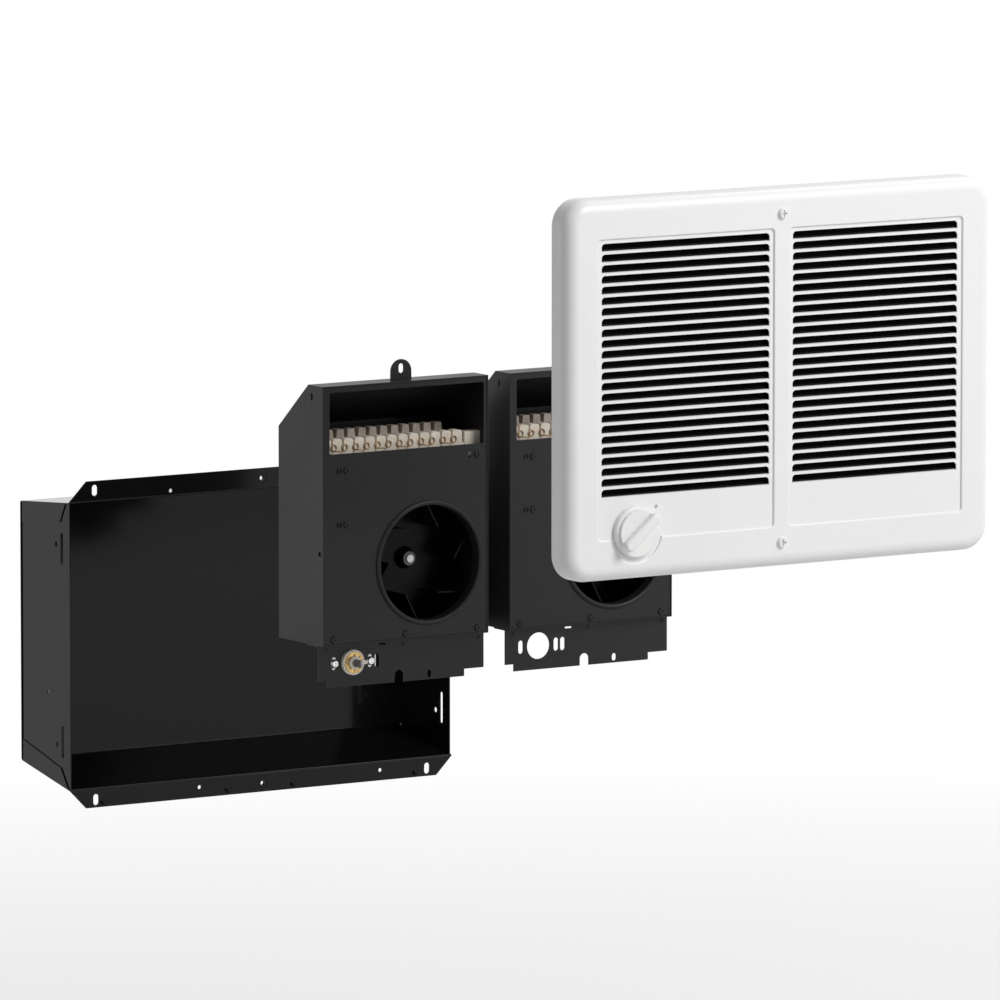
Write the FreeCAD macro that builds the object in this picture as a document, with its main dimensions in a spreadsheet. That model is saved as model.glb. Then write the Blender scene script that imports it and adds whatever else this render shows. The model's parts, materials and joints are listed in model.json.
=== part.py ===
import math
import os
from types import SimpleNamespace

import FreeCAD
import Part
import Sketcher

# In-wall fan heater: wall can, two heater units, grille and thermostat.
# X runs to the right, the front faces -Y, Z is up; the origin is the middle
# of the can's front in the wall plane. Lengths are in millimetres.
table = {
    # how far the pieces are drawn out to the front, and how much they rise on the way
    "heater_pull": 345, "rise_share": 0.3835, "grille_pull_share": 2.1,
    # wall can
    "can_width": 362, "can_height": 232.5, "can_depth": 76, "can_sheet": 0.9,
    "floor_rise": 16, "roof_drop": 6, "flange_top": 16.3, "flange_low": 15,
    "bend_out": 1.6, "bend_in": 0.7, "back_out": 2.1, "back_in": 1.2,
    "flange_slot_in": 24, "flange_slot_wide": 5, "flange_slot_tall": 9, "flange_slot_off": 8.6,
    "pilot_hole": 1.6, "low_pilot_drop": 6.5,
    "boss_off": 8, "boss_round": 4.6, "boss_deep": 2.5, "boss_hole": 1.9, "boss_dish": 0.4,
    "lance_near": 31, "lance_side": 33, "lance_round": 4.6, "lance_out": 2.6, "lance_edge": 1.5,
    "lance_drop": 9.75,
    "tab_tall": 17, "tab_start": 5, "tab_slant": 9, "tab_short": 3,
    "roof_hole": 1.5, "roof_hole_y": 6, "roof_hole_gap": 17, "roof_hole_x": 33,
    "knock_round": 11, "knock_wide": 0.7, "knock_deep": 0.45, "knock_x": 110, "knock_z": 55,
    "side_corner": 3, "stud_slot_y": 12, "stud_slot_z": 78, "stud_slot_long": 26, "stud_slot_wide": 4,
    "stud_hole_y": 21, "stud_hole_z": 81, "stud_hole": 2.2,
    "ground_y": 34, "ground_z": -40, "ground_head": 4.2, "ground_head_tall": 2.4, "ground_shank": 2,
    "ground_long": 0.5, "ground_slack": 0.06,
    # heater units
    "unit_width": 152, "unit_gap": 20, "case_top": 110.5, "case_low": -92, "case_front": -9,
    "case_back": 56, "case_sheet": 0.9, "slope_top_y": 12, "slope_low_z": 74, "bend_share": 0.41,
    "lip_tall": 9, "panel_inset": 0.6, "panel_gap": 0.15,
    "ear_round": 9.5, "ear_mid": 117.5, "ear_back": -1.2, "ear_hole": 2.2, "ear_hole_z": 119.9,
    "ear_hole_reach": 1.6,
    "window_left": 6.7, "window_right": 3.8, "window_top": 5.2, "window_tall": 48, "window_round": 1.5,
    "inlet_x": 22, "inlet_z": -33, "throat": 45, "mouth": 49, "throat_long": 8,
    "vent_hole": 2.2, "pair_x": -57.4, "pair_half": 3.3, "pair_high_z": 44, "pair_low_z": 2,
    "end_pair_x": 66, "end_pair_z": 49,
    "foot_screw_x": 66, "foot_screw_z": -87.4,
    "side_slot_y": 7, "side_slot_z": 101.5, "side_slot_long": 6, "side_slot_wide": 3,
    "side_hole_y": -4.6, "side_hole_z": -20,
    "plate_low": -120, "plate_deep": -125.7, "plate_left": 8, "plate_right": 18, "plate_shelf": 14,
    "notch_x": -2, "notch_round": 4.2, "notch_tall": 9.5,
    "foot_slot_x": 26, "foot_slot_z": -121.2, "foot_slot_wide": 4, "foot_slot_tall": 6,
    "stat_x": -45, "stat_z": -107, "stat_hole": 10.5,
    "stat_slot_in": 16.5, "stat_slot_far": 22.6, "stat_slot_wide": 4.4, "stat_slot_tall": 10.5,
    "slit_x": -17, "slit_z": -94.6, "slit_half": 3.2, "slit_tall": 1.5,
    "dent_round": 2, "dent_share": 0.6, "dent_z": -95.4, "dent_x": 70,
    "tongue_high": 24, "tongue_x": 56, "tongue_z": 8.4,
    # motor and fan
    "core_front": 38, "core_back": 50, "core_left": 38, "core_right": 19, "core_half": 20,
    "core_bore": 12.6, "core_window_in": 15, "core_leg": 10, "core_window_half": 11,
    "coil_wall": 4.3, "coil_half": 10.4, "coil_slack": 0.2, "coil_round": 3,
    "bridge_front": 33.4, "bridge_half": 7, "bridge_foot": 13, "bridge_end": 18.5, "bridge_sheet": 2.2,
    "bearing_slack": 0.05, "shaft_round": 3, "shaft_tip": 19.5, "shaft_end": 53,
    "rotor_gap": 0.4, "rotor_over": 0.4, "seat_slack": 0.02,
    "wheel_round": 49, "wheel_back": 29.6, "wheel_sheet": 1, "wheel_front": 2.6, "hub_round": 9,
    "hub_front": 22, "hub_fillet": 3, "blade_in": 29, "blade_thick": 1.1, "blade_lead": 27, "blades": 6,
    "clip_round": 5.4, "clip_thick": 1.2,
    # heating element
    "bar_left": 70, "bar_right": 61, "bar_low": 47, "bar_seat": 57.8,
    "bar_front_y": 3, "bar_thick": 8, "bar_rear_y": 31,
    "bar_step": 10, "tooth_first": 65, "teeth": 13, "tooth_wide": 8.5, "tooth_high": 67.6,
    "tooth_round": 2.4, "rear_tooth_low": 8.6, "rear_tooth_top": 6.2, "rear_tooth_high": 71,
    "wire_thick": 1.3, "wire_front": 1.4, "wire_rear": 40.6, "bend_count": 6,
    "end_low": 46, "end_high": 62, "end_front": 2, "end_rear": 40.4, "end_out": 4.6, "end_tall": 20,
    "end_out_deep": 10, "end_slack": 0.2,
    # limit switch
    "limit_wide": 14, "limit_over": 6, "limit_sheet": 1, "limit_round": 9, "limit_deep": 9,
    # screws of the units
    "head_round": 2.9, "head_tall": 1.7, "head_share": 0.72, "shank_round": 1.4, "shank_long": 5,
    "screw_hole": 1.6, "cross_long_share": 1.15, "cross_wide_share": 0.26, "cross_deep_share": 0.6,
    # thermostat
    "stat_block_half": 14.5, "stat_block_low": -111, "stat_block_high": -95, "stat_block_deep": 14,
    "stat_plate_half": 22, "stat_plate_low": -113, "stat_plate_high": -99, "stat_plate_sheet": 1,
    "stat_neck_half": 8, "stat_neck_high": -101, "stat_neck_slack": 0.2,
    "stat_boss": 9.8, "stat_boss_out": 3.3,
    "disc_round": 8.2, "disc_thick": 0.8, "disc_hole": 0.85, "disc_ring": 5.9, "disc_eye": 3.8,
    "disc_holes": 8,
    "spindle_round": 3.1, "spindle_end": 4, "spindle_step": -9.2, "spindle_tip": -16, "spindle_slack": 0.05,
    "tang_half": 1, "tang_tall": 2.8, "tang_slack": 0.2,
    "cam_back": -5.5, "cam_thick": 1.8, "cam_round": 5, "cam_reach": 11, "cam_half": 2.2,
    "stat_head_round": 3.4, "stat_head_tall": 2, "stat_shank": 1.75, "stat_shank_long": 6,
    "stat_screw_hole": 1.85,
    # grille and knob
    "grille_width": 384, "grille_height": 286, "grille_deep": 22, "grille_sheet": 1,
    "grille_corner": 20, "grille_edge": 10,
    "field_in": 7, "field_side": 27, "field_head": 30, "field_foot": 31, "field_deep": 1.5,
    "field_round": 3, "field_soft": 1,
    "slot_in": 3.5, "slot_side": 4, "slot_head": 3, "slot_step_share": 0.035556, "slot_tall_share": 0.75,
    "slots": 24, "slot_round_share": 0.5, "lip_back": 3.2, "lip_rise": 1.5, "lip_thick": 1,
    "screen_thick": 0.6, "screen_lap": 3,
    "knob_side": 61, "knob_foot_up": 36, "knob_hole": 6.4, "ring_out": 23.6,
    "grille_screw_in": 18.75, "grille_head": 4.6, "grille_head_tall": 2.6, "grille_shank": 1.7,
    "grille_shank_long": 27, "grille_hole": 2.2,
    "knob_turn": 40, "knob_round": 19.5, "knob_base": 4, "knob_gap": 0.3, "knob_foot": 10, "knob_run": 0.05,
    "hub_back": -9.5, "knob_hub": 6, "drive_end": -16.5,
    "grip_long": 18.6, "grip_half": 4.4, "grip_tall": 8.2, "grip_edge": 2.2,
    "moon_tall": 2.6, "moon_gap": 1.2, "rim_edge": 1.6,
}

doc = FreeCAD.newDocument("fan_heater")
sheet = doc.addObject("Spreadsheet::Sheet", "sizes")
for row, (name, value) in enumerate(table.items(), 1):
    sheet.set(f"A{row}", name)
    sheet.set(f"B{row}", str(value))
    sheet.setAlias(f"B{row}", name)
doc.recompute()


# A size keeps its sheet formula beside its value.
class Size:
    def __init__(self, text, value):
        self.text = text
        self.value = value

    def join(self, sign, other, value, flip=False):
        left, right = self.text, written(other)
        if flip:
            left, right = right, left
        return Size(f"({left} {sign} {right})", value)

    def __add__(self, other):
        return self.join("+", other, self.value + plain(other))

    __radd__ = __add__

    def __sub__(self, other):
        return self.join("-", other, self.value - plain(other))

    def __rsub__(self, other):
        return self.join("-", other, plain(other) - self.value, True)

    def __mul__(self, other):
        return self.join("*", other, self.value * plain(other))

    __rmul__ = __mul__

    def __truediv__(self, other):
        return self.join("/", other, self.value / plain(other))

    def __neg__(self):
        return Size(f"(0 - {self.text})", -self.value)


def plain(value):
    return value.value if isinstance(value, Size) else float(value)


def written(value):
    return value.text if isinstance(value, Size) else repr(float(value))


def vector(x, y, z=0):
    return FreeCAD.Vector(plain(x), plain(y), plain(z))


def bind(thing, path, value):
    if isinstance(value, Size):
        thing.setExpression(path, value.text)


def cosine(angle):
    return Size(f"cos({written(angle)} * 1 deg)", math.cos(math.radians(plain(angle))))


def sine(angle):
    return Size(f"sin({written(angle)} * 1 deg)", math.sin(math.radians(plain(angle))))


size = SimpleNamespace(**{name: Size(f"sizes.{name}", float(value)) for name, value in table.items()})
nodes = []


# Pieces and where they stand
def keep(thing, label, x=0, y=0, z=0):
    thing.Label = label
    thing.Placement = FreeCAD.Placement(vector(x, y, z), FreeCAD.Rotation())
    for axis, value in zip("xyz", (x, y, z)):
        bind(thing, f"Placement.Base.{axis}", value)
    nodes.append((label, thing))


def start():
    return doc.addObject("PartDesign::Body", "body")


def origin_part(body, role):
    return next(part for part in body.Origin.OriginFeatures if part.Role == role)


# Sketches: a plane through the body's origin, moved along its normal
def draw(body, plane, depth=0, turn=0):
    sketch = body.newObject("Sketcher::SketchObject", "sketch")
    sketch.AttachmentSupport = [(origin_part(body, plane), "")]
    sketch.MapMode = "FlatFace"
    spin = FreeCAD.Rotation(FreeCAD.Vector(0, 0, 1), plain(turn))
    sketch.AttachmentOffset = FreeCAD.Placement(vector(0, 0, depth), spin)
    bind(sketch, "AttachmentOffset.Base.z", depth)
    bind(sketch, "AttachmentOffset.Rotation.Angle", turn)
    return sketch


def face_front(body, back, turn=0):
    return draw(body, "XZ_Plane", -back, turn)


def limit(sketch, kind, *what):
    value = what[-1]
    number = sketch.addConstraint(Sketcher.Constraint(kind, *what[:-1], plain(value)))
    bind(sketch, f"Constraints[{number}]", value)


def fix(sketch, line, end, x=None, z=None):
    for kind, axis, value in (("DistanceX", -2, x), ("DistanceY", -1, z)):
        if value is None:
            continue
        if isinstance(value, Size):
            limit(sketch, kind, -1, 1, line, end, value)
        else:
            sketch.addConstraint(Sketcher.Constraint("PointOnObject", line, end, axis))


def join_ends(sketch, kind, *pairs):
    sketch.addConstraint([Sketcher.Constraint(kind, *pair) for pair in pairs])


def segment(sketch, first, last):
    return sketch.addGeometry(Part.LineSegment(vector(*first), vector(*last)), False)


def arc(sketch, x, z, radius, begin, end):
    circle = Part.Circle(vector(x, z), FreeCAD.Vector(0, 0, 1), plain(radius))
    line = sketch.addGeometry(Part.ArcOfCircle(circle, begin, end), False)
    fix(sketch, line, 3, x, z)
    limit(sketch, "Radius", line, radius)
    return line


def outline(sketch, points):
    lines = [segment(sketch, a, b) for a, b in zip(points, points[1:] + points[:1])]
    join_ends(sketch, "Coincident", *[(a, 2, b, 1) for a, b in zip(lines, lines[1:] + lines[:1])])
    for line, (x, z) in zip(lines, points):
        fix(sketch, line, 1, x, z)


def ring(sketch, x, z, radius):
    line = sketch.addGeometry(Part.Circle(vector(x, z), FreeCAD.Vector(0, 0, 1), plain(radius)), False)
    fix(sketch, line, 3, x, z)
    limit(sketch, "Radius", line, radius)


def obround(sketch, x, z, wide, tall):
    radius = wide / 2
    reach = tall / 2 - radius
    high = arc(sketch, x, z + reach, radius, 0, math.pi)
    left = segment(sketch, (x - radius, z + reach), (x - radius, z - reach))
    low = arc(sketch, x, z - reach, radius, math.pi, 2 * math.pi)
    right = segment(sketch, (x + radius, z - reach), (x + radius, z + reach))
    join_ends(sketch, "Tangent", (high, 2, left, 1), (left, 2, low, 1),
              (low, 2, right, 1), (right, 2, high, 1))


def arch(sketch, x, low, middle, radius):
    top = arc(sketch, x, middle, radius, 0, math.pi)
    left = segment(sketch, (x - radius, middle), (x - radius, low))
    base = segment(sketch, (x - radius, low), (x + radius, low))
    right = segment(sketch, (x + radius, low), (x + radius, middle))
    join_ends(sketch, "Tangent", (top, 2, left, 1), (right, 2, top, 1))
    join_ends(sketch, "Coincident", (left, 2, base, 1), (base, 2, right, 1))
    fix(sketch, base, 1, x - radius, low)
    fix(sketch, base, 2, x + radius, low)


def half_moon(sketch, x, z, radius, high=False):
    begin = 0 if high else math.pi
    bow = arc(sketch, x, z, radius, begin, begin + math.pi)
    first, last = (x + radius, x - radius) if high else (x - radius, x + radius)
    chord = segment(sketch, (last, z), (first, z))
    join_ends(sketch, "Coincident", (bow, 2, chord, 1), (chord, 2, bow, 1))
    fix(sketch, bow, 1, None, z)
    fix(sketch, bow, 2, None, z)


def panel(sketch, left, right, low, high, radius=None, rounded="bl br tr tl"):
    corners = {
        "bl": (left, low, 1, 1),
        "br": (right, low, -1, 1),
        "tr": (right, high, -1, -1),
        "tl": (left, high, 1, -1),
    }
    names = list(corners)
    soft = rounded.split() if radius is not None else []
    ways = [(1, 0), (0, 1), (-1, 0), (0, -1)]
    lines = []
    for number, name in enumerate(names):
        other = names[(number + 1) % 4]
        ends = []
        for corner, sign in ((name, 1), (other, -1)):
            x, z = corners[corner][:2]
            trim = plain(radius) * sign if corner in soft else 0
            ends.append((plain(x) + ways[number][0] * trim, plain(z) + ways[number][1] * trim))
        lines.append(segment(sketch, *ends))
    for number, name in enumerate(names):
        before = lines[number - 1]
        after = lines[number]
        x, z, right_way, up_way = corners[name]
        if name in soft:
            begin = math.pi + number * math.pi / 2
            bend = arc(sketch, x + radius * right_way, z + radius * up_way, radius,
                       begin, begin + math.pi / 2)
            join_ends(sketch, "Tangent", (before, 2, bend, 1), (bend, 2, after, 1))
        else:
            join_ends(sketch, "Coincident", (before, 2, after, 1))
            fix(sketch, after, 1, x, z)


# Features
def pad(body, sketch, length, back=False, both=False):
    feature = body.newObject("PartDesign::Pad", "pad")
    feature.Profile = sketch
    feature.Length = plain(length)
    bind(feature, "Length", length)
    feature.Reversed = back
    if both:
        feature.SideType = "Symmetric"
    doc.recompute()
    return feature


def pocket(body, sketch, length=None, both=False, back=False):
    feature = body.newObject("PartDesign::Pocket", "pocket")
    feature.Profile = sketch
    feature.Reversed = back
    if length is None:
        feature.Type = "ThroughAll"
    else:
        feature.Length = plain(length)
        bind(feature, "Length", length)
    if both:
        feature.SideType = "Symmetric"
    doc.recompute()
    return feature


def turned(body, sketch, axis):
    feature = body.newObject("PartDesign::Revolution", "turned")
    feature.Profile = sketch
    feature.ReferenceAxis = axis
    feature.Angle = 360
    doc.recompute()
    return feature


def repeat(body, features, axis, length, count):
    feature = body.newObject("PartDesign::LinearPattern", "row")
    feature.Originals = features
    feature.Direction = (origin_part(body, axis), [""])
    feature.Length = abs(plain(length))
    bind(feature, "Length", length)
    feature.Occurrences = int(plain(count))
    bind(feature, "Occurrences", count)
    body.Tip = feature
    return feature


def around(body, features, count):
    feature = body.newObject("PartDesign::PolarPattern", "circle")
    feature.Originals = features
    feature.Axis = (origin_part(body, "Y_Axis"), [""])
    feature.Angle = 360
    feature.Occurrences = int(plain(count))
    bind(feature, "Occurrences", count)
    body.Tip = feature
    doc.recompute()
    return feature


def mirror(body, features, plane):
    feature = body.newObject("PartDesign::Mirrored", "mirror")
    feature.Originals = features
    feature.MirrorPlane = (origin_part(body, plane), [""])
    body.Tip = feature
    doc.recompute()
    return feature


def soften(body, radius, wanted):
    doc.recompute()
    base = body.Tip
    names = [f"Edge{number}" for number, edge in enumerate(base.Shape.Edges, 1) if wanted(edge)]
    feature = body.newObject("PartDesign::Fillet", "fillet")
    feature.Base = (base, names)
    feature.Radius = plain(radius)
    bind(feature, "Radius", radius)
    doc.recompute()
    return feature


def near(first, second):
    return abs(first - plain(second)) < plain(size.can_sheet) / 20


def along(edge, axis):
    if len(edge.Vertexes) != 2 or not isinstance(edge.Curve, Part.Line):
        return False
    step = edge.Vertexes[1].Point - edge.Vertexes[0].Point
    return abs(abs(step[axis]) - step.Length) < step.Length / 1000


def x_edge(points):
    def wanted(edge):
        if not along(edge, 0):
            return False
        spot = edge.Vertexes[0].Point
        return any(near(spot.y, y) and near(spot.z, z) for y, z in points)
    return wanted


def bar(left, right, front, back, low, high):
    block = doc.addObject("Part::Box", "block")
    for path, first, last in (("Length", left, right), ("Width", front, back), ("Height", low, high)):
        setattr(block, path, plain(last) - plain(first))
        bind(block, path, last - first)
    block.Placement.Base = vector(left, front, low)
    for axis, value in zip("xyz", (left, front, low)):
        bind(block, f"Placement.Base.{axis}", value)
    return block


def peg(x, y, z, radius, length, tip=None):
    round_peg = doc.addObject("Part::Cylinder" if tip is None else "Part::Cone", "peg")
    sizes = {"Height": length}
    sizes.update({"Radius": radius} if tip is None else {"Radius1": radius, "Radius2": tip})
    for path, value in sizes.items():
        setattr(round_peg, path, plain(value))
        bind(round_peg, path, value)
    round_peg.Placement = FreeCAD.Placement(vector(x, y, z), FreeCAD.Rotation(FreeCAD.Vector(1, 0, 0), 90))
    for axis, value in zip("xyz", (x, y, z)):
        bind(round_peg, f"Placement.Base.{axis}", value)
    return round_peg


def fuse(pieces):
    joined = doc.addObject("Part::MultiFuse", "joined")
    joined.Shapes = pieces
    return joined


# Cross-head screws as one group: heads stand on the face, shanks run back
def screws(spots, face, head, tall, shank, length):
    group = []
    for x, z in spots:
        cap = peg(x, face, z, head, tall, head * size.head_share)
        solid = fuse([cap, peg(x, face + length, z, shank, length)])
        arm = head * size.cross_long_share / 2
        thick = head * size.cross_wide_share / 2
        front = face - tall
        floor = front + tall * size.cross_deep_share
        flat = bar(x - arm, x + arm, front, floor, z - thick, z + thick)
        upright = bar(x - thick, x + thick, front, floor, z - arm, z + arm)
        screw = doc.addObject("Part::Cut", "screw")
        screw.Base = solid
        screw.Tool = fuse([flat, upright])
        group.append(screw)
    pack = doc.addObject("Part::Compound", "screws")
    pack.Links = group
    return pack


# Wall can
sheet_t = size.can_sheet
can_top = size.can_height / 2
can_low = -can_top
unit_pitch = size.unit_width + size.unit_gap
can_half = size.can_width / 2
depth = size.can_depth
fold_low = can_low - size.flange_low
fold_top = can_top + size.flange_top
zero = size.can_sheet * 0

profile = [
    (0, fold_low),
    (0, can_low),
    (depth, can_low + size.floor_rise),
    (depth, can_top - size.roof_drop),
    (0, can_top),
    (0, fold_top),
    (-sheet_t, fold_top),
    (-sheet_t, can_top - sheet_t),
    (depth - sheet_t, can_top - size.roof_drop - sheet_t),
    (depth - sheet_t, can_low + size.floor_rise + sheet_t),
    (-sheet_t, can_low + sheet_t),
    (-sheet_t, fold_low),
]
wrap = start()
sketch = draw(wrap, "YZ_Plane")
outline(sketch, profile)
pad(wrap, sketch, size.can_width, both=True)
soften(wrap, size.bend_out, x_edge([profile[7], profile[10]]))
soften(wrap, size.bend_in, x_edge([profile[1], profile[4]]))
soften(wrap, size.back_out, x_edge([profile[2], profile[3]]))
soften(wrap, size.back_in, x_edge([profile[8], profile[9]]))

# folded tabs outside the side panels
tab_back = depth - size.tab_short
roof_share = size.roof_drop / depth
floor_share = size.floor_rise / depth
sketch = draw(wrap, "YZ_Plane", can_half - sheet_t)
outline(sketch, [
    (size.tab_start, can_top - sheet_t / 2 - roof_share * size.tab_start),
    (size.tab_start + size.tab_slant, can_top - size.tab_tall),
    (tab_back, can_top - size.roof_drop - size.tab_tall),
    (tab_back, can_top - sheet_t / 2 - roof_share * tab_back),
])
outline(sketch, [
    (size.tab_start / 2, can_low + sheet_t / 2 + floor_share * size.tab_start / 2),
    (tab_back, can_low + sheet_t / 2 + floor_share * tab_back),
    (tab_back, can_low + size.floor_rise + size.tab_tall),
    (size.tab_start + size.tab_slant, can_low + size.tab_tall),
])
tabs = pad(wrap, sketch, sheet_t)
mirror(wrap, [tabs], "YZ_Plane")

# flange corners, slots and screw holes
boss_top = can_top + size.boss_off
boss_low = can_low - size.boss_off
sketch = draw(wrap, "XZ_Plane")
for side in (1, -1):
    edge = can_half * side
    outline(sketch, [(edge, can_top), (edge, fold_top), (edge - size.flange_top * side, fold_top)])
    outline(sketch, [(edge, can_low), (edge, fold_low), (edge - size.flange_low * side, fold_low)])
    slot_x = (can_half - size.flange_slot_in) * side
    for z in (can_top + size.flange_slot_off, can_low - size.flange_slot_off):
        obround(sketch, slot_x, z, size.flange_slot_wide, size.flange_slot_tall)
    middle = unit_pitch / 2 * side
    ring(sketch, middle, size.ear_hole_z, size.pilot_hole)
    ring(sketch, middle + size.foot_slot_x, can_low - size.low_pilot_drop, size.pilot_hole)
for z in (boss_top, boss_low):
    ring(sketch, 0, z, size.boss_hole)
pocket(wrap, sketch, both=True)

# grille bosses and the dishes in front of them
sketch = face_front(wrap, size.boss_deep)
for z in (boss_top, boss_low):
    ring(sketch, 0, z, size.boss_round)
    ring(sketch, 0, z, size.boss_hole)
pad(wrap, sketch, size.boss_deep)
sketch = face_front(wrap, -sheet_t)
for z in (boss_top, boss_low):
    ring(sketch, 0, z, size.boss_round - size.boss_dish)
pocket(wrap, sketch, size.boss_dish)

# lances that carry the units
sketch = face_front(wrap, -sheet_t / 2)
for x in (size.lance_near, can_half - size.lance_side):
    for side in (1, -1):
        half_moon(sketch, x * side, can_low - size.lance_drop, size.lance_round)
pad(wrap, sketch, sheet_t / 2 + size.lance_out)


def lance_rim(edge):
    return isinstance(edge.Curve, Part.Circle) and near(edge.Curve.Center.y, -sheet_t - size.lance_out)


soften(wrap, size.lance_edge, lance_rim)

# small holes in the roof, knockouts in the back
sketch = draw(wrap, "XY_Plane", can_top + sheet_t)
for number in range(3):
    ring(sketch, size.roof_hole_gap * number - size.roof_hole_x, size.roof_hole_y, size.roof_hole)
pocket(wrap, sketch, sheet_t * 5)
sketch = face_front(wrap, depth)
for side in (1, -1):
    ring(sketch, size.knock_x * side, -size.knock_z, size.knock_round)
    ring(sketch, size.knock_x * side, -size.knock_z, size.knock_round - size.knock_wide)
pocket(wrap, sketch, size.knock_deep, back=True)
keep(wrap, "can_wrap")

# side panels
ground_x = -can_half + sheet_t * 2
for label, offset in (("can_side_left", -can_half + sheet_t), ("can_side_right", can_half - sheet_t * 2)):
    side = start()
    low_front = can_low + sheet_t + floor_share * sheet_t
    top_front = can_top - sheet_t - roof_share * sheet_t
    low_back = can_low + size.floor_rise + sheet_t
    top_back = can_top - size.roof_drop - sheet_t
    inner = depth - sheet_t
    cut = size.side_corner
    sketch = draw(side, "YZ_Plane", offset)
    outline(sketch, [
        (0, low_front),
        (inner - cut, low_back - floor_share * cut),
        (inner, low_back + cut),
        (inner, top_back - cut),
        (inner - cut, top_back + roof_share * cut),
        (0, top_front),
    ])
    for way in (1, -1):
        obround(sketch, size.stud_slot_y, size.stud_slot_z * way, size.stud_slot_wide, size.stud_slot_long)
        ring(sketch, size.stud_hole_y, size.stud_hole_z * way, size.stud_hole)
    if label == "can_side_left":
        ring(sketch, size.ground_y, size.ground_z, size.ground_shank + size.ground_slack)
    pad(side, sketch, sheet_t)
    keep(side, label)

ground = start()
sketch = draw(ground, "XY_Plane")
outline(sketch, [
    (0, 0),
    (0, size.ground_head),
    (size.ground_head_tall, size.ground_head * size.head_share),
    (size.ground_head_tall, 0),
])
turned(ground, sketch, (origin_part(ground, "X_Axis"), [""]))
sketch = draw(ground, "YZ_Plane")
ring(sketch, 0, 0, size.ground_shank)
pad(ground, sketch, size.ground_long, back=True)
sketch = draw(ground, "YZ_Plane", size.ground_head_tall)
slit = size.ground_head * size.cross_wide_share / 2
panel(sketch, -size.ground_head, size.ground_head, -slit, slit)
pocket(ground, sketch, size.ground_head_tall * size.cross_deep_share)
keep(ground, "ground_screw", ground_x, size.ground_y, size.ground_z)

# Heater units
t = size.case_sheet
unit_half = size.unit_width / 2
inner_half = unit_half - t
panel_front = size.case_front + size.panel_inset
panel_back = panel_front + t
inner_back = size.case_back - t
plate_front = size.ear_back - t
window_low = size.case_top - size.window_top - size.window_tall
foot_spots = [(x, size.foot_screw_z) for x in (-size.foot_screw_x, zero, size.foot_screw_x)]
pair_spots = [(size.pair_x + size.pair_half, z) for z in (size.pair_high_z, size.pair_low_z)]
end_spot = (size.end_pair_x, size.end_pair_z)


def case_shell():
    body = start()
    bend = t * size.bend_share
    sketch = draw(body, "YZ_Plane")
    outline(sketch, [
        (size.case_front, size.case_low),
        (size.case_back, size.case_low),
        (size.case_back, size.slope_low_z),
        (size.slope_top_y, size.case_top),
        (size.case_front, size.case_top),
    ])
    pad(body, sketch, size.unit_width, both=True)
    sketch = draw(body, "YZ_Plane")
    outline(sketch, [
        (size.case_front - t, size.case_low + t),
        (inner_back, size.case_low + t),
        (inner_back, size.slope_low_z - bend),
        (size.slope_top_y - bend, size.case_top - t),
        (size.case_front - t, size.case_top - t),
    ])
    pocket(body, sketch, inner_half * 2, both=True)
    # lip behind the front panel's foot
    sketch = face_front(body, panel_back + t)
    panel(sketch, -inner_half - t / 2, inner_half + t / 2,
          size.case_low + t / 2, size.case_low + size.lip_tall)
    for x, z in foot_spots:
        ring(sketch, x, z, size.screw_hole)
    pad(body, sketch, t)
    # ear for the can's flange
    sketch = face_front(body, size.ear_back)
    arch(sketch, zero, size.case_top - t / 2, size.ear_mid, size.ear_round)
    obround(sketch, zero, size.ear_hole_z, size.ear_hole * 2, (size.ear_hole + size.ear_hole_reach) * 2)
    pad(body, sketch, t)
    # the element's end passes through the right wall
    slack = size.end_slack
    sketch = draw(body, "YZ_Plane", unit_half + t)
    panel(sketch, size.end_front - slack, size.end_front + size.end_out_deep + slack,
          size.end_low - slack, size.end_low + size.end_tall + slack)
    pocket(body, sketch, t * 3)
    # small slot and hole in the left wall
    sketch = draw(body, "YZ_Plane", -unit_half + t * 2)
    obround(sketch, size.side_slot_y, size.side_slot_z, size.side_slot_wide, size.side_slot_long)
    ring(sketch, size.side_hole_y, size.side_hole_z, size.vent_hole)
    pocket(body, sketch, t * 3)
    return body


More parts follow.
